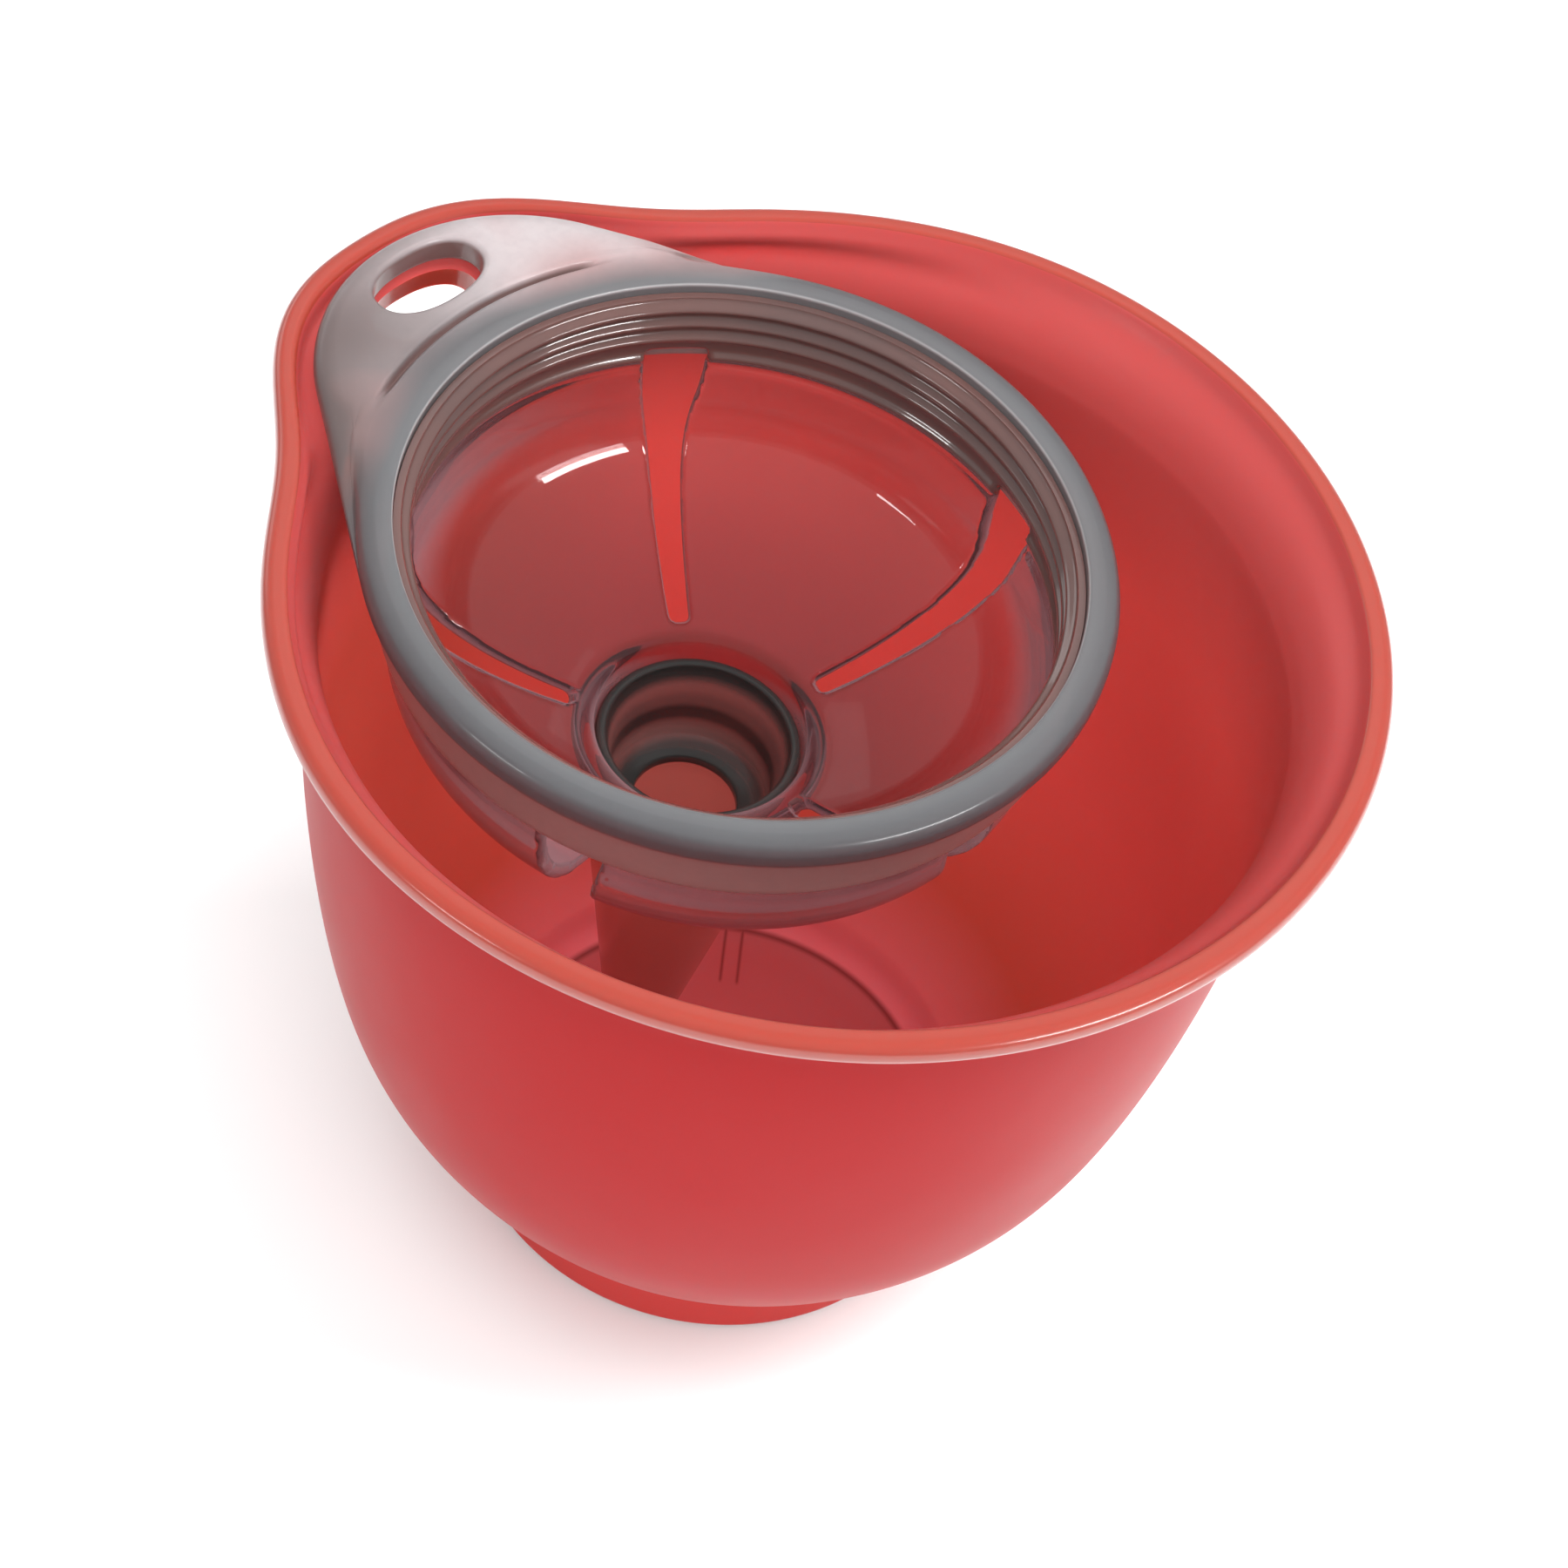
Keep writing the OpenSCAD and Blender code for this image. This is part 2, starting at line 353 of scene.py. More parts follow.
def inside_light_and_shade(nt, x, y, z, colour):
    """Painted light and shade inside the bowl that imitate the photo: painted shade as deeper reds low down, under the
    rim and on the wall towards +Y and -X; a paler floor, painted as if lit from below; and the tray under the floor,
    showing through as painted shade."""
    # painted shade: deeper reds low on the wall and under the rim
    colour = mix_colour(nt, falls(nt, z, 0.014, 0.048), colour, (0.38, 0.052, 0.030))
    colour = mix_colour(nt, rises(nt, z, 0.084, 0.113), colour, (0.43, 0.063, 0.061))
    # painted shadow: deeper red on the wall towards +Y and -X
    towards = math_node(nt, "SUBTRACT", product(nt, y, 0.85), product(nt, x, 0.53))
    shade = product(nt, ramp(nt, towards, 0.0, 0.8, 0.030, 0.052), falls(nt, z, 0.080, 0.104))
    colour = mix_colour(nt, shade, colour, (0.40, 0.056, 0.036))
    # painted light: a paler floor, as if lit from below
    colour = mix_colour(nt, falls(nt, z, 0.0100, 0.0240), colour, (0.60, 0.115, 0.130))
    # painted shade of the tray under the floor, with its edge and rib as darker lines
    disc, dark = tray_shade_marks(nt, x, y, z)
    colour = mix_colour(nt, disc, colour, (0.38, 0.062, 0.066))
    return mix_colour(nt, dark, colour, (0.13, 0.010, 0.010))


def red_plastic(name, base, deep, rough, inside=False, coat=0.0, gloss=0.5):
    """Translucent red moulded plastic, with slow shade drift, fine grain and flow marks."""
    mat, nt, out = material(name)
    co = object_coords(nt)
    drift = noise(nt, co, 14.0, 2.0)
    grain = noise(nt, co, 700.0, 2.0, 0.5)
    colour = mix_colour(nt, ramp(nt, drift, 0.0, 0.35, 0.35, 0.75), base, deep)
    colour = mix_colour(nt, ramp(nt, grain, 0.0, 0.06, 0.4, 0.7), colour, deep)
    x, y, z = axes(nt, co)
    if inside:
        colour = inside_light_and_shade(nt, x, y, z, colour)
    else:  # painted light: the foot ring is paler, as in the photo
        colour = mix_colour(nt, falls(nt, z, 0.0108, 0.0124), colour, (0.47, 0.040, 0.036))
    p = principled(nt, IOR=1.49, Specular_IOR_Level=gloss, Coat_Weight=coat, Coat_Roughness=0.13)
    p.inputs["Subsurface Weight"].default_value = 0.55
    p.inputs["Subsurface Radius"].default_value = (1.0, 0.16, 0.12)
    p.inputs["Subsurface Scale"].default_value = 0.0025
    nt.links.new(colour, p.inputs["Base Color"])
    wear = noise(nt, co, 34.0, 2.0, 0.5)
    nt.links.new(ramp(nt, wear, rough - 0.03, rough + 0.04, 0.25, 0.75), p.inputs["Roughness"])
    height = math_node(nt, "ADD", noise(nt, co, 38.0, 2.0), product(nt, noise(nt, co, 420.0, 1.0), 0.03))
    nt.links.new(bump(nt, height, 0.12, 0.0006), p.inputs["Normal"])
    nt.links.new(p.outputs[0], out.inputs["Surface"])
    return mat


def soft_red(name):
    """Matte rubbery red of the tray in the foot."""
    mat, nt, out = material(name)
    co = object_coords(nt)
    drift = rises(nt, noise(nt, co, 30.0), 0.3, 0.7)
    colour = mix_colour(nt, drift, (0.40, 0.030, 0.028), (0.30, 0.020, 0.020))
    p = principled(nt, IOR=1.45)
    nt.links.new(colour, p.inputs["Base Color"])
    nt.links.new(ramp(nt, noise(nt, co, 400.0), 0.55, 0.72, 0.3, 0.7), p.inputs["Roughness"])
    nt.links.new(bump(nt, noise(nt, co, 900.0, 3.0), 0.3, 0.0002), p.inputs["Normal"])
    nt.links.new(p.outputs[0], out.inputs["Surface"])
    return mat


def satin_grey(name):
    """Milky, slightly see-through grey with a satin face, and painted light and shade: a painted sheen on the handle's
    +X side and painted shade on its -X side, a ring darker outwards with a painted highlight on its inner edge, painted
    shade in the groove and the hanging hole, and a painted pink glow of the bowl's red in patches on the handle and low
    on the ring and collar.
    """
    mat, nt, out = material(name)
    co = object_coords(nt)
    cloud = noise(nt, co, 32.0, 2.0, 0.4)
    rel = nt.nodes.new("ShaderNodeVectorMath")
    rel.operation = "SUBTRACT"
    nt.links.new(co, rel.inputs[0])
    rel.inputs[1].default_value = tuple(SEAT * 0.001)

    def along(axis):
        d = nt.nodes.new("ShaderNodeVectorMath")
        d.operation = "DOT_PRODUCT"
        nt.links.new(rel.outputs[0], d.inputs[0])
        d.inputs[1].default_value = tuple(seat_matrix.to_3x3() @ Vector(axis))
        return d.outputs["Value"]

    x, y, z = along((1, 0, 0)), along((0, 1, 0)), along((0, 0, 1))
    rad = radius(nt, x, y)
    # painted sheen on the handle's +X side, fading to painted shade on its -X side
    drift = math_node(nt, "ADD", x, ramp(nt, cloud, -0.008, 0.008, 0.3, 0.7))
    plate = mix_colour(nt, rises(nt, drift, -0.024, 0.012), (0.098, 0.076, 0.074), (0.405, 0.362, 0.368))
    # painted pink glow of the bowl's red, in patches on the handle
    plate = mix_colour(nt, ramp(nt, cloud, 0.0, 0.75, 0.50, 0.66), plate, (0.300, 0.170, 0.165))
    wobble = ramp(nt, cloud, -0.0015, 0.0015, 0.3, 0.7)
    away = rises(nt, math_node(nt, "ADD", rad, wobble), 0.0478, 0.0525)
    away = product(nt, away, rises(nt, y, 0.018, 0.034))
    # painted shade: the ring darkens towards its outer shoulder
    ring = mix_colour(nt, rises(nt, rad, 0.0464, 0.0497), (0.108, 0.110, 0.115), (0.062, 0.064, 0.069))
    # painted highlight: a light line along the ring's inner top edge
    edge = product(nt, falls(nt, rad, 0.04550, 0.04568), rises(nt, z, -0.0007, -0.0003))
    ring = mix_colour(nt, edge, ring, (0.300, 0.300, 0.305))
    colour = mix_colour(nt, away, ring, plate)
    # painted pink glow of the bowl's red, low on the ring and collar
    colour = mix_colour(nt, falls(nt, z, -0.0062, -0.0036), colour, (0.250, 0.175, 0.168))
    # painted shade down in the crescent groove and on the hanging hole's wall
    groove = product(nt, rises(nt, rad, 0.0499, 0.0506), falls(nt, rad, 0.0520, 0.0527))
    groove = product(nt, groove, falls(nt, z, -0.0010, -0.0004), rises(nt, y, 0.036, 0.042))
    hole_x = math_node(nt, "ABSOLUTE", x)
    hole_y = math_node(nt, "ABSOLUTE", math_node(nt, "SUBTRACT", y, HOLE_U * 0.001))
    hole = product(nt, falls(nt, hole_x, 0.0095, 0.0100), falls(nt, hole_y, 0.0058, 0.0062))
    hole = product(nt, hole, falls(nt, z, -0.0011, -0.0005))
    colour = mix_colour(nt, math_node(nt, "MAXIMUM", groove, hole), colour, (0.135, 0.080, 0.075))
    grain = ramp(nt, noise(nt, co, 700.0, 2.0), 0.0, 0.08, 0.4, 0.7)
    colour = mix_colour(nt, grain, colour, (0.10, 0.10, 0.105))
    p = principled(nt, IOR=1.5, Coat_Weight=0.35, Coat_Roughness=0.05, Subsurface_Weight=0.3)
    p.inputs["Subsurface Radius"].default_value = (1.0, 0.7, 0.7)
    p.inputs["Subsurface Scale"].default_value = 0.003
    nt.links.new(colour, p.inputs["Base Color"])
    nt.links.new(ramp(nt, noise(nt, co, 36.0, 2.0, 0.5), 0.28, 0.34, 0.25, 0.75), p.inputs["Roughness"])
    height = math_node(nt, "ADD", noise(nt, co, 42.0, 2.0), product(nt, noise(nt, co, 420.0, 1.0), 0.03))
    nt.links.new(bump(nt, height, 0.12, 0.0006), p.inputs["Normal"])
    clear = nt.nodes.new("ShaderNodeBsdfTransparent")
    clear.inputs["Color"].default_value = (0.92, 0.86, 0.86, 1)
    mix = nt.nodes.new("ShaderNodeMixShader")
    nt.links.new(ramp(nt, cloud, 0.84, 0.92, 0.35, 0.65), mix.inputs[0])
    nt.links.new(clear.outputs[0], mix.inputs[1])
    nt.links.new(p.outputs[0], mix.inputs[2])
    see_through(nt, mix.outputs[0], (0.55, 0.50, 0.50), out)
    return mat


def smoky_clear(name, tint, low, high, lamp_tint, veil=None, clear_share=1.0, bands=()):
    """Glossy clear plastic with a smoky tint, and a roughness from low to high.

    veil is the milky colour it takes where it is seen at a low angle. bands are darker rings that
    imitate the photo: each is a colour and the heights where it starts, is full, begins to end and has ended.
    """
    mat, nt, out = material(name)
    co = object_coords(nt)
    colour = mix_colour(nt, rises(nt, noise(nt, co, 26.0, 2.0), 0.3, 0.7), tint, tuple(0.9 * c for c in tint))
    z = axes(nt, co)[2]
    for hue, starts, full, ends, ended in bands:
        colour = mix_colour(nt, product(nt, rises(nt, z, starts, full), falls(nt, z, ends, ended)), colour, hue)
    p = principled(nt, IOR=1.49, Transmission_Weight=clear_share)
    nt.links.new(colour, p.inputs["Base Color"])
    rough = ramp(nt, noise(nt, co, 34.0, 2.0, 0.5), low, high, 0.25, 0.75)
    normal = bump(nt, noise(nt, co, 45.0, 2.0), 0.08, 0.0005)
    nt.links.new(rough, p.inputs["Roughness"])
    nt.links.new(normal, p.inputs["Normal"])
    surface = p.outputs[0]
    if veil is not None:
        milk = principled(nt, IOR=1.49, Roughness=0.22)
        redder = (1.08 * veil[0], 0.94 * veil[1], 0.98 * veil[2])
        hue = mix_colour(nt, rises(nt, noise(nt, co, 22.0, 2.0), 0.35, 0.65), veil, redder)
        nt.links.new(hue, milk.inputs["Base Color"])
        nt.links.new(normal, milk.inputs["Normal"])
        facing = nt.nodes.new("ShaderNodeLayerWeight")
        facing.inputs["Blend"].default_value = 0.5
        mix = nt.nodes.new("ShaderNodeMixShader")
        nt.links.new(ramp(nt, facing.outputs["Facing"], 0.04, 0.75, 0.34, 0.66), mix.inputs[0])
        nt.links.new(p.outputs[0], mix.inputs[1])
        nt.links.new(milk.outputs[0], mix.inputs[2])
        surface = mix.outputs[0]
    see_through(nt, surface, lamp_tint, out)
    return mat


def milky_gloss(name, base, deep):
    """Thick smoky plastic behind the ring: milky brown-grey under a clear shine."""
    mat, nt, out = material(name)
    co = object_coords(nt)
    colour = mix_colour(nt, rises(nt, noise(nt, co, 24.0, 3.0, 0.5), 0.35, 0.65), base, deep)
    p = principled(nt, IOR=1.49, Subsurface_Weight=0.3, Coat_Weight=0.8, Coat_Roughness=0.03)
    p.inputs["Subsurface Radius"].default_value = (1.0, 0.6, 0.55)
    p.inputs["Subsurface Scale"].default_value = 0.002
    nt.links.new(colour, p.inputs["Base Color"])
    nt.links.new(ramp(nt, noise(nt, co, 34.0, 2.0, 0.5), 0.12, 0.18, 0.25, 0.75), p.inputs["Roughness"])
    nt.links.new(bump(nt, noise(nt, co, 40.0, 1.0), 0.03, 0.0003), p.inputs["Normal"])
    nt.links.new(p.outputs[0], out.inputs["Surface"])
    return mat


red_out = red_plastic("red_satin", (0.34, 0.011, 0.013), (0.31, 0.009, 0.008), 0.36, gloss=0.08)
red_in = red_plastic("red_semi_gloss", (0.64, 0.083, 0.073), (0.60, 0.070, 0.058), 0.34, inside=True, gloss=0.30)
red_lip = red_plastic("red_lip", (0.30, 0.038, 0.023), (0.27, 0.030, 0.017), 0.30, coat=0.9)
rubber = soft_red("soft_red")
grey = satin_grey("grey_satin")
smoke = smoky_clear(
    "smoky_clear",
    (0.93, 0.84, 0.83),
    0.02,
    0.05,
    (0.96, 0.94, 0.94),
    veil=(0.22, 0.138, 0.148),
    bands=[((0.50, 0.34, 0.38), 0.060, 0.070, 0.081, 0.099)],
)
band = milky_gloss("smoky_band", (0.120, 0.058, 0.051), (0.088, 0.053, 0.049))
dark_well = (0.030, 0.036, 0.035)
# painted light: the well's salmon-pink tint is the bowl's red light put into its colour
stem = smoky_clear(
    "smoky_well",
    (0.60, 0.26, 0.22),
    0.20,
    0.26,
    (0.85, 0.80, 0.80),
    clear_share=0.6,
    bands=[
        ((0.26, 0.12, 0.11), 0.058, 0.066, *HIGH_UP),
        (dark_well, 0.0766, 0.0782, *HIGH_UP),
        (dark_well, 0.0692, 0.0703, 0.0720, 0.0732),
        (dark_well, 0.0630, 0.0642, 0.0668, 0.0682),
    ],
)


# ---------------------------------------------------------------- the bowl
INSIDE, OUTSIDE, LIP = 0, 1, 2  # the bowl's material slots


def wall_out(z):
    """Radius of the wall's outer face at height z."""
    s = np.clip((z - CURVE_Z0) / CURVE_H, 0, 1)
    tuck = LOW_TUCK * np.exp(-(np.clip((z - WALL_Z0) / TUCK_H, 0, None) ** 4))
    return WALL_R - SIDE_DRAW * (1 - s) ** 1.9 - CORNER_DRAW * (1 - s) ** 7 - tuck


def wall_in(z):
    """Radius and height of the inner face's point across the wall from height z."""
    m = (wall_out(z + 0.1) - wall_out(z - 0.1)) / 0.2
    k = WALL_T / np.sqrt(1 + m * m)
    return wall_out(z) - k, z + k * m


def bowl_sections(n):
    """The bowl's section at n angles, from the floor over the lip to the underside, with each point's finish."""
    a = np.degrees(np.arange(n) * 2 * math.pi / n)
    a = np.where(a > 180, a - 360, a)
    k = np.exp(-((np.abs(a) / TAB_HALF) ** 2.8))
    r = (RIM_R - BOX_GAP) * (1 + TAB_BULGE * k - WAIST * np.exp(-((a / WAIST_HALF) ** 4)))
    h = BOWL_H
    wo, wi = wall_out(WALL_Z1), wall_in(WALL_Z1)[0]
    one = np.ones(n)
    zs = WALL_Z0 + (WALL_Z1 - WALL_Z0) * (np.arange(30) / 29) ** 1.4
    path, kinds = [], []

    def put(rr, zz, kind):
        path.append(np.stack([rr * one, zz * one], axis=1))
        kinds.append(kind)

    for rr in (0, 10, 20, 26, 28.5):
        put(rr, FLOOR_Z, INSIDE)
    put(31, FLOOR_Z + 0.5, INSIDE)
    put(33.6, FLOOR_Z + 2, INSIDE)
    for z in zs:
        ri, zi = wall_in(z)
        if zi > FLOOR_Z + 4 and z < WALL_Z1 - 0.5:
            put(ri, zi, INSIDE)
    put(wi, WALL_Z1 - 0.4, INSIDE)
    put(wi + 0.3, h - 12.3 + 0.3 * k, INSIDE)
    put(wi + 1.0, h - 9.8 + 3.2 * k, INSIDE)
    put(wi + 2.3, h - 7.3 + 3.3 * k, INSIDE)
    put(wi + 3.9 + 0.3 * k, h - 5.0 + 1.9 * k, INSIDE)
    put(r - 4.6 - 0.4 * k, h - 2.7 - 0.2 * k, INSIDE)
    put(r - 3.8 - 0.3 * k, h - 1.2 - 1.6 * k, INSIDE)
    put(r - 3.5 - 0.25 * k, h - 0.55 - 0.65 * k, INSIDE)
    put(r - 3.3 - 0.15 * k, h - 0.18 - 0.27 * k, LIP)
    put(r - 2.9 + 0.2 * k, h, LIP)
    put(r - 2.2, h, LIP)
    put(r - 1.6, h - 0.02, LIP)
    put(r - 1.05, h - 0.14, LIP)
    put(r - 0.42, h - 0.58, LIP)
    put(r - 0.07, h - 1.25, LIP)
    put(r, h - 2.1, LIP)
    put(r - 0.25, h - 2.8, LIP)
    put(r - 1.0, h - 3.3, LIP)
    put(r - 2.2, h - 3.7 - 0.9 * k, OUTSIDE)
    put(r - 3.6, h - 4.7 - 0.8 * k, OUTSIDE)
    put(wo + 0.2 * (r - wo), h - 8.3 + 2 * k, OUTSIDE)
    put(wo + 0.05 * (r - wo), WALL_Z1 + 1.5, OUTSIDE)
    for z in zs[::-1]:
        put(wall_out(z), z, OUTSIDE)
    for z in (10.6, 8.6, 6.0, 2.4, 1.3):
        put(FOOT_R, z, OUTSIDE)
    for rr in (FOOT_R - 0.5, 34.5, TRAY_R + 0.4):
        put(rr, FOOT_Z, OUTSIDE)
    # the hollow that holds the tray
    for z in (1.2, 3.5, 5.5):
        put(TRAY_R, z, OUTSIDE)
    for rr in (TRAY_R - 0.3, 16.0, 0.0):
        put(rr, TRAY_Z, OUTSIDE)
    return np.stack(path, axis=1), kinds


sections, kinds = bowl_sections(BOWL_STEPS)
# each softened point keeps the finish of the point that it came from
came_from = soften(np.arange(len(kinds), dtype=float)[None, :, None])[0, :, 0]
kind_at = np.array(kinds)[np.clip(np.rint(came_from), 0, len(kinds) - 1).astype(int)]
bowl = swept(
    "bowl_shell",
    soften(sections),
    closed=False,
    materials=[red_in, red_out, red_lip],
    pick=lambda place: kind_at[place],
)
tidy(bowl)
cut(bowl, hole_cutter([(-14, 0.0), (1.5, 0.0)], red_lip))
sharpen(bowl, 50)
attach(bowl, "bowl")
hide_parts("bowl")

base = frame["nodes"]["non_slip_base"]
base.data.materials.clear()
base.data.materials.append(rubber)


# ---------------------------------------------------------------- ring, collar and handle
def outline_radius(a):
    """Distance from the ring's axis to the outline of ring and handle, at angle a (radians) from the handle."""
    a = np.abs((a + math.pi) % (2 * math.pi) - math.pi)
    al = math.asin((RING_R - HANDLE_R) / HANDLE_U)
    end_at = math.atan2(HANDLE_R * math.cos(al), HANDLE_U + HANDLE_R * math.sin(al))
    ring_at = math.pi / 2 - al
    arc = HANDLE_U * np.cos(a) + np.sqrt(np.maximum(HANDLE_R**2 - (HANDLE_U * np.sin(a)) ** 2, 0))
    line = RING_R / np.maximum(np.sin(a) * math.cos(al) + np.cos(a) * math.sin(al), 1e-6)
    return np.where(a < end_at, arc, np.where(a < ring_at, line, RING_R))


def rim_sections(n):
    """The section of ring, collar and handle at n angles, as a closed path."""
    ang = np.arange(n) * 2 * math.pi / n
    deg = np.degrees(np.where(ang > math.pi, ang - 2 * math.pi, ang))
    ro = outline_radius(ang)
    out = ro - RING_R  # how far the handle reaches past the ring here
    on = np.clip(out / 6.0, 0, 1)  # 1 on the handle
    on = on * on * (3 - 2 * on)
    g = 1 / (1 + np.exp((np.abs(deg) - GROOVE_HALF) / 1.2))  # 1 along the crescent groove
    t = HANDLE_T
    one = np.ones(n)
    path = []

    def put(rr, zz):
        path.append(np.stack([rr * one, zz * one], axis=1))

    put(RING_IN, -COLLAR_H)
    put(RING_IN, -10.0)
    put(RING_IN, -5.0)
    put(RING_IN, -1.6)
    put(RING_IN, -0.6)
    put(RING_IN + 0.12, -0.16)
    put(RING_IN + 0.55, -0.02)
    put(RING_IN + 2.0, -0.0)
    put(RING_R - 2.2, -0.02)
    # over the ring's shoulder: it rounds down outside the handle, and runs flat into the groove on it
    put(RING_R - 1.3 + 0.6 * on, -0.28 * (1 - on) - 0.02)
    put(RING_R - 0.75 + 1.2 * on, -0.6 * (1 - on) - 0.02)
    put(RING_R - 0.4 + 1.15 * on, -1.1 * (1 - on) - 0.45 * g * on)
    put(RING_R - 0.15 + 1.3 * on, -1.6 * (1 - on) - 1.5 * g * on)
    put(RING_R - 0.03 + 1.5 * on, -2.0 * (1 - on) - 1.5 * g * on)
    put(RING_R + 1.8 * on, -2.4 * (1 - on) - 0.25 * g * on)
    put(RING_R + 2.1 * on, -2.6 * (1 - on))
    put(np.where(on > 0, RING_R + 2.6 * on, RING_R), -2.7 * (1 - on) - 0.02 * on)
    for f in (0.15, 0.3, 0.5, 0.7, 0.85):
        # slightly crowned plate between the ring and the handle's edge
        rr = RING_R + 2.6 * on + (ro - 3.4 * on - RING_R - 2.6 * on) * f * (on > 0)
        put(rr, -2.75 * (1 - on) - 0.10 * on * (2 * f - 1) ** 2)
    put(ro - 3.0 * on, -2.8 * (1 - on) - 0.12 * on)
    put(ro - 1.8 * on, -2.85 * (1 - on) - 0.36 * on)
    put(ro - 0.75 * on, -2.9 * (1 - on) - 0.85 * on)
    put(ro - 0.12 * on, -2.95 * (1 - on) - 1.65 * on)
    put(ro, -3.1 * (1 - on) - 2.3 * on)
    put(ro, -3.4 * (1 - on) - 3.0 * on)
    put(ro - 0.3 * on - 0.08 * (1 - on), -3.9 * (1 - on) - (t - 0.75) * on)
    put(ro - 1.0 * on - 0.4 * (1 - on), -4.5 * (1 - on) - (t - 0.18) * on)
    put(ro - 2.2 * on - 0.9 * (1 - on), -4.95 * (1 - on) - t * on)
    under = ro - 2.4 * on - 0.9 * (1 - on)
    for f in (0.3, 0.6, 0.85):
        put(under + (RING_R + 0.4 - under) * f * on, -5.0 * (1 - on) - t * on)
    put(RING_R - 1.1, -5.1)
    put(RING_R - 1.55, -5.5)
    put(RING_R - 1.85, -7.0)
    put(RING_R - 2.2, -9.0)
    put(RING_R - 2.9, -COLLAR_H + 0.9)
    put(RING_R - 3.1, -COLLAR_H + 0.25)
    put(RING_R - 3.5, -COLLAR_H)
    put(RING_R - 4.0, -COLLAR_H)
    return np.stack(path, axis=1)


rim = swept("separator_ring_handle", soften(rim_sections(RING_STEPS), closed=True), seat=True, materials=[grey])
tidy(rim)
# the hole's edges are rounded, the upper one more
lower_edge = [(-8, 0.9)] + [(up - HANDLE_T, grow) for up, grow in ((0.05, 0.62), (0.25, 0.3), (0.65, 0.06), (1.0, 0.0))]
upper_edge = [(-1.1, 0.0), (-0.75, 0.04), (-0.45, 0.16), (-0.22, 0.38), (-0.08, 0.68), (0.03, 1.05), (2, 3.2)]
cut(rim, hole_cutter(lower_edge + upper_edge, grey))
sharpen(rim, 55)
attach(rim, "separator")
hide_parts("separator_rim")


# ---------------------------------------------------------------- the slotted cup
def cup_profile():
    """Matching points down the cup's outer and inner faces, from the top edge to the hub."""
    outer, inner = [], []
    for z in np.linspace(-1.6, -14.4, 52):
        ridge = 0.0
        for k in range(1, 4):
            d = (z + k * RIDGE_PITCH + 0.4) / RIDGE_WIDE
            ridge += math.exp(-d * d)
        lip = math.exp(-(((z + 12.6) / LIP_WIDE) ** 2))
        ri = 44.10 - RIDGE_HIGH * ridge - LIP_HIGH * lip - 0.05 * (z < -10)
        if z > -2.2:
            ri += 0.25
        outer.append((45.3, z))
        inner.append((ri, z))
    for f in np.linspace(0.1, 0.95, 14):
        z = -14.4 + (EQ_Z + 14.4) * f
        outer.append((45.3 - 0.3 * f, z))
        inner.append((43.75 - 0.95 * f**0.7, z))
    for q in np.radians(np.linspace(0, 66, 96)):
        outer.append((CUP_A * math.cos(q), EQ_Z - (CUP_DEPTH + EQ_Z) * math.sin(q)))
        inner.append(((CUP_A - CUP_T) * math.cos(q), EQ_Z - (CUP_DEPTH + EQ_Z - CUP_T) * math.sin(q)))
    # round the corner and down the hub
    outer += [(17.7, -40.9), (17.1, -41.3), (HUB_R, -42.0), (HUB_R, -43.5), (HUB_R, -45.5), (HUB_R - 0.1, -46.2)]
    inner += [(16.4, -39.0), (15.3, -39.3), (14.7, -39.9), (14.45, -41.0), (14.45, -43.5), (14.6, -46.2)]
    return np.array(outer), np.array(inner)


def smooth_rows(p, times):
    """Evens out the points down the cup, except the two at the ends."""
    q = p.copy()
    for _ in range(times):
        q[1:-1] = 0.25 * q[:-2] + 0.5 * q[1:-1] + 0.25 * q[2:]
    return q


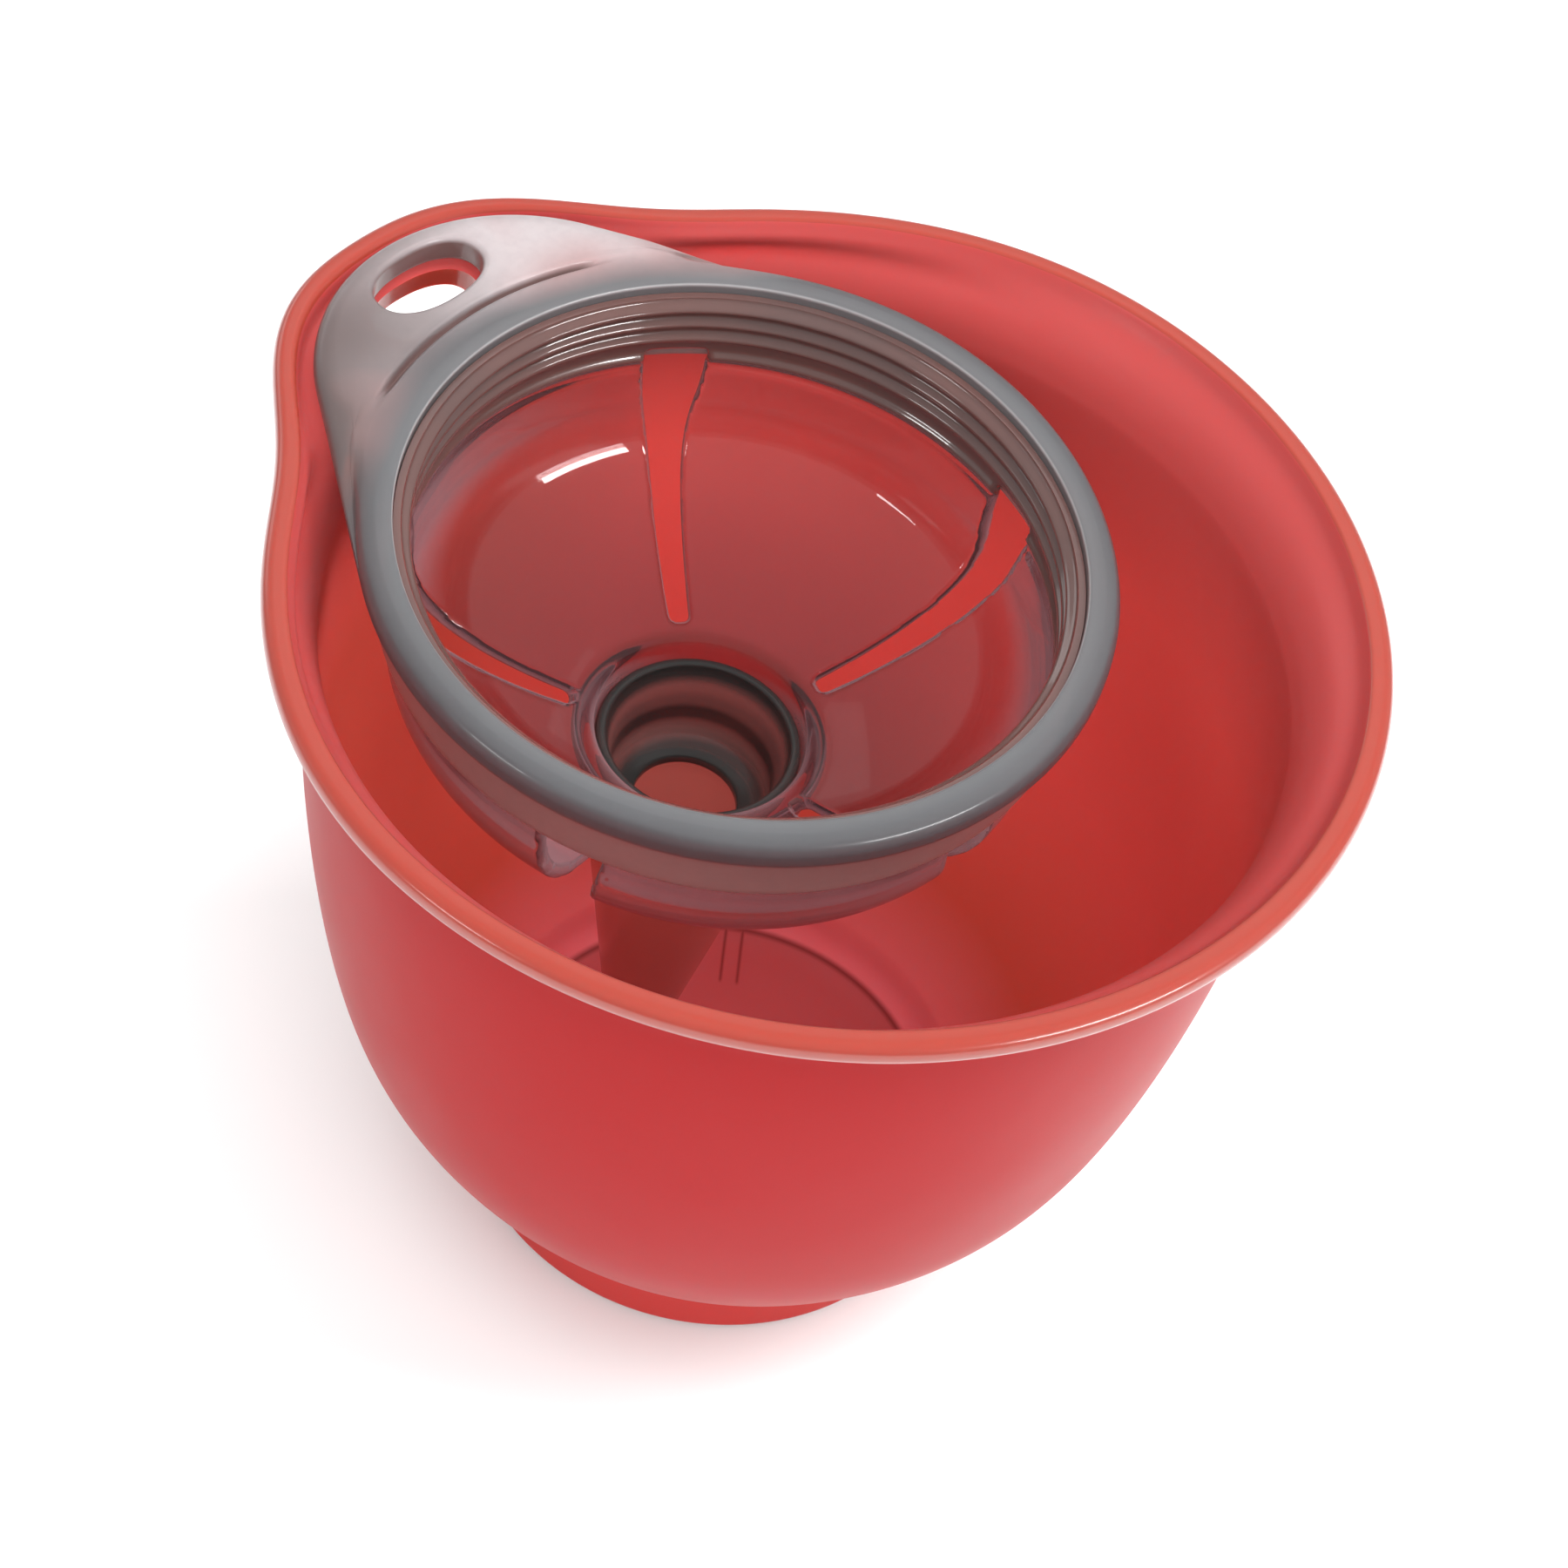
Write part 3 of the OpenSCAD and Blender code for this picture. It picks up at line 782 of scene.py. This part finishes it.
def slotted_cup():
    """The cup, as outer and inner sheets of a grid, joined round every slot by a rounded edge."""
    po, pi = cup_profile()
    po, pi = smooth_rows(po, 3), smooth_rows(pi, 1)
    mid = (po + pi) / 2
    run = np.concatenate([[0], np.cumsum(np.hypot(*np.diff(mid, axis=0).T))])
    rows = np.concatenate([np.arange(0, 16.0, 0.28), np.arange(16.0, run[-1], 0.42), [run[-1]]])
    m = len(rows)
    n = CUP_STEPS
    s_top = float(np.interp(SLOT_Z, -mid[:70, 1], run[:70]))
    s_foot = float(np.interp(-SLOT_END_R, -mid[70:, 0], run[70:]))

    def half_width(s):
        """Half a slot's width down the cup: flared at the top, then a long slow taper to the hub."""
        x = np.clip((s - s_top) / (s_foot - s_top), 0, 1)
        flare = 1 / (1 + np.exp((x - 0.27) / 0.075))
        return 1.35 + 1.35 * (1 - x) ** 0.9 + 1.85 * flare

    def at(s, curve):
        return np.stack([np.interp(s, run, curve[:, 0]), np.interp(s, run, curve[:, 1])], axis=-1)

    def gap(a, s):
        """Distance, in mm, from the nearest slot's edge: above 0 is plastic, below 0 is open."""
        p = at(s, mid)
        step = 2 * math.pi / SLOTS
        d = (a + step / 2) % step - step / 2  # angle from the nearest slot's middle
        side = np.abs(p[..., 0] * np.sin(d)) - half_width(s)
        top = p[..., 1] + SLOT_Z
        foot = SLOT_END_R - p[..., 0]
        u, v = side + SLOT_CORNER, np.maximum(top, foot) + SLOT_CORNER
        return np.minimum(np.maximum(u, v), 0) + np.hypot(np.maximum(u, 0), np.maximum(v, 0)) - SLOT_CORNER

    ang0 = np.arange(n) * 2 * math.pi / n
    shift = math.pi / SLOTS  # slots sit half a step from the handle
    A, S = np.meshgrid(ang0, rows, indexing="ij")
    f = gap(A - shift, S)
    keep_quad = (f + np.roll(f, -1, 0) + np.roll(f, -1, 1) + np.roll(np.roll(f, -1, 0), -1, 1)) / 4 > 0
    keep_quad[:, -1] = False
    # points on the border of what is kept move on to the slot's edge
    touch = np.zeros_like(f, bool)
    whole = np.ones_like(f, bool)
    for da in (0, 1):
        for ds in (0, 1):
            q = np.roll(np.roll(keep_quad, da, 0), ds, 1)
            touch |= q
            whole &= q
    inner_row = np.zeros_like(f, bool)
    inner_row[:, 1:-1] = True
    near = np.abs(f) < 1.2
    border = touch & ~whole & inner_row & near
    A2, S2 = A.copy(), S.copy()
    e = 1e-3
    for _ in range(6):
        rad = np.maximum(at(S2, mid)[..., 0], 1)
        f0 = gap(A2 - shift, S2)
        fa = (gap(A2 - shift + e / rad, S2) - f0) / e
        fs = (gap(A2 - shift, S2 + e) - f0) / e
        g2 = np.maximum(fa * fa + fs * fs, 0.2)
        A2 = np.where(border, A2 - f0 * fa / g2 / rad, A2)
        S2 = np.where(border, S2 - f0 * fs / g2, S2)
    f = np.where(border, 0.0, np.maximum(gap(A2 - shift, S2), 0.0))
    g = np.sqrt(1 - (1 - np.clip(f / CUP_EDGE, 0, 1)) ** 2)  # the share of the thickness, which closes at a slot
    o, i_, c = at(S2, po), at(S2, pi), at(S2, mid)
    o = c + (o - c) * g[..., None]
    i_ = c + (i_ - c) * g[..., None]

    def world(p):
        return np.stack([-p[..., 0] * np.sin(A2), p[..., 0] * np.cos(A2), p[..., 1]], axis=-1).reshape(-1, 3)

    verts = np.concatenate([world(o), world(i_)])
    count = n * m
    ia, js = np.nonzero(keep_quad[:, :-1])
    i2 = (ia + 1) % n
    a, b, cc, d = ia * m + js, ia * m + js + 1, i2 * m + js + 1, i2 * m + js
    outer_faces = np.stack([a, b, cc, d], axis=1)
    inner_id = np.arange(count) + count
    same = border.reshape(-1)
    inner_id[same] = np.arange(count)[same]
    inner_faces = np.stack([inner_id[d], inner_id[cc], inner_id[b], inner_id[a]], axis=1)
    k = np.arange(n)
    k2 = (k + 1) % n
    top_faces = np.stack([k * m, k2 * m, inner_id[k2 * m], inner_id[k * m]], axis=1)
    last = m - 1
    low_faces = np.stack([k2 * m + last, k * m + last, inner_id[k * m + last], inner_id[k2 * m + last]], axis=1)
    faces = np.concatenate([outer_faces, inner_faces, top_faces, low_faces]).tolist()
    row_z = mid[np.clip(np.searchsorted(run, rows), 0, len(mid) - 1), 1]
    lip_row = int(np.searchsorted(-row_z, BAND_LOW))
    thick = np.concatenate([js < lip_row, js < lip_row, np.ones(n, bool), np.zeros(n, bool)]).astype(np.int32)
    return make_object("separator_cup", verts, faces, [smoke, band], thick, seat=True)


cup = slotted_cup()
tidy(cup)
sharpen(cup, 60)
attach(cup, "separator")
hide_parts("slotted_cup")


# ---------------------------------------------------------------- the centre well
def well_path():
    """The well's section: down its outer face to the tip, up inside to the ledge's hole, and on to the mouth."""
    z0 = HUB_Z - 0.05

    def cone(z):
        return TIP_R + (WELL_R - TIP_R) * (z + WELL_DEPTH) / (WELL_DEPTH + z0)

    pts = [(12.8, -42.0), (13.8, -42.0), (PLUG_R, -42.5), (PLUG_R, -44.5), (PLUG_R, z0)]
    pts += [(WELL_R - 0.5, z0), (WELL_R, z0 - 0.5)]
    for z in np.linspace(-49, -WELL_DEPTH + 1.6, 24):
        pts.append((cone(z), z))
    pts += [(TIP_R - 0.1, -WELL_DEPTH + 0.35), (TIP_R - 0.6, -WELL_DEPTH)]
    pts += [(TIP_R - 1.3, -WELL_DEPTH), (TIP_R - 1.5, -WELL_DEPTH + 0.8)]
    for z in np.linspace(-WELL_DEPTH + 3, -59.5, 20):
        pts.append((cone(z) - 2.2 + 0.8 * (1 - (z + WELL_DEPTH) / 48.0), z))
    pts += [(10.6, -58.2), (8.6, -57.6), (LEDGE_IN + 0.3, -57.5), (LEDGE_IN, -57.1)]
    pts += [(LEDGE_IN, -56.0), (LEDGE_IN + 0.35, -55.65), (8.6, -55.3)]
    pts += [(10.1, -54.7), (10.9, -53.9), (11.3, -52.4), (11.45, -49.5), (11.6, -46.6), (12.2, -44.2), (12.7, -43.0)]
    return np.array(pts, float)


well_sections = np.repeat(well_path()[None], WELL_STEPS, axis=0)
well = swept("separator_well", soften(well_sections, closed=True), seat=True, materials=[stem])
tidy(well)
sharpen(well, 55)
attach(well, "separator")
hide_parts("centre_well")


# ---------------------------------------------------------------- floor, light and camera, in metres
FLOOR_HALF = 0.95
SOFT_LIGHT = 0.42  # what the white surroundings light with; the camera sees them at 1


def floor():
    mat, nt, out = material("pale_floor")
    p = principled(nt, Roughness=0.6, IOR=1.4)
    p.inputs["Base Color"].default_value = (0.80, 0.80, 0.80, 1)
    nt.links.new(p.outputs[0], out.inputs["Surface"])
    s = FLOOR_HALF
    mesh = bpy.data.meshes.new("floor")
    mesh.from_pydata([(-s, -s, 0), (s, -s, 0), (s, s, 0), (-s, s, 0)], [], [(0, 1, 2, 3)])
    mesh.materials.append(mat)
    obj = bpy.data.objects.new("floor", mesh)
    bpy.context.scene.collection.objects.link(obj)


floor()


def area_light(name, place, target, size, power):
    data = bpy.data.lights.new(name, "AREA")
    data.shape = "RECTANGLE"
    data.size, data.size_y = size
    data.energy = power
    obj = bpy.data.objects.new(name, data)
    bpy.context.scene.collection.objects.link(obj)
    obj.location = place
    obj.rotation_euler = (Vector(target) - Vector(place)).to_track_quat("-Z", "Y").to_euler()
    return obj


def softbox(name, azimuth, elevation, distance, size, power, aim=(0, 0, 0.09), mirrored=True, lights=True):
    """A soft light seen from the object at this angle (from +X, anticlockwise) and height, in degrees.

    mirrored says that it shows in gloss, and lights that it lights.
    """
    az, el = math.radians(azimuth), math.radians(elevation)
    place = Vector(aim) + distance * Vector((math.cos(az) * math.cos(el), math.sin(az) * math.cos(el), math.sin(el)))
    obj = area_light(name, place, aim, size, power)
    obj.visible_glossy = obj.visible_transmission = mirrored
    obj.visible_diffuse = lights
    return obj


softbox("key", -46, 50, 1.3, (0.8, 0.8), 17, mirrored=False)
softbox("top", 60, 82, 1.5, (1.8, 1.8), 17, mirrored=False)
softbox("fill", -150, 50, 1.4, (1.3, 1.3), 24, mirrored=False)
softbox("key_glow", -46, 50, 1.3, (0.8, 0.6), 0.8, lights=False)
softbox("back_glow", 34, 50, 1.5, (1.1, 0.6), 0.6, lights=False)
softbox("low_glow", 80, 16, 1.2, (0.6, 0.3), 0.5, lights=False)
softbox("strip_far", 125, 16, 1.1, (0.35, 0.012), 0.10, lights=False)
softbox("strip_right", -86, 23, 1.1, (0.56, 0.10), 5.0, lights=False)
softbox("strip_left", 164, 18, 1.1, (0.30, 0.06), 1.0, lights=False).visible_transmission = False

world = bpy.data.worlds.new("studio")
bpy.context.scene.world = world
world.use_nodes = True
wt = world.node_tree
wt.nodes["Background"].inputs["Color"].default_value = (1, 1, 1, 1)
wt.links.new(
    ramp(wt, wt.nodes.new("ShaderNodeLightPath").outputs["Is Camera Ray"], SOFT_LIGHT, 1.0),
    wt.nodes["Background"].inputs["Strength"],
)

cam_place = Vector((-0.29809, -0.18482, 0.48312))
cam_aim = Vector((0.00052, -0.00014, 0.080))
cam_roll = math.radians(12.15)
ahead = (cam_aim - cam_place).normalized()
side0 = ahead.cross(Vector((0, 0, 1))).normalized()
up0 = side0.cross(ahead)
right = math.cos(cam_roll) * side0 + math.sin(cam_roll) * up0
up = -math.sin(cam_roll) * side0 + math.cos(cam_roll) * up0
cam_data = bpy.data.cameras.new("camera")
cam_data.sensor_width = 36.0
cam_data.lens = 90.0
cam = bpy.data.objects.new("camera", cam_data)
bpy.context.scene.collection.objects.link(cam)
cam.matrix_world = Matrix.Translation(cam_place) @ Matrix((right, up, -ahead)).transposed().to_4x4()
bpy.context.scene.camera = cam
bpy.context.scene.view_settings.view_transform = "Standard"

bpy.context.view_layer.update()
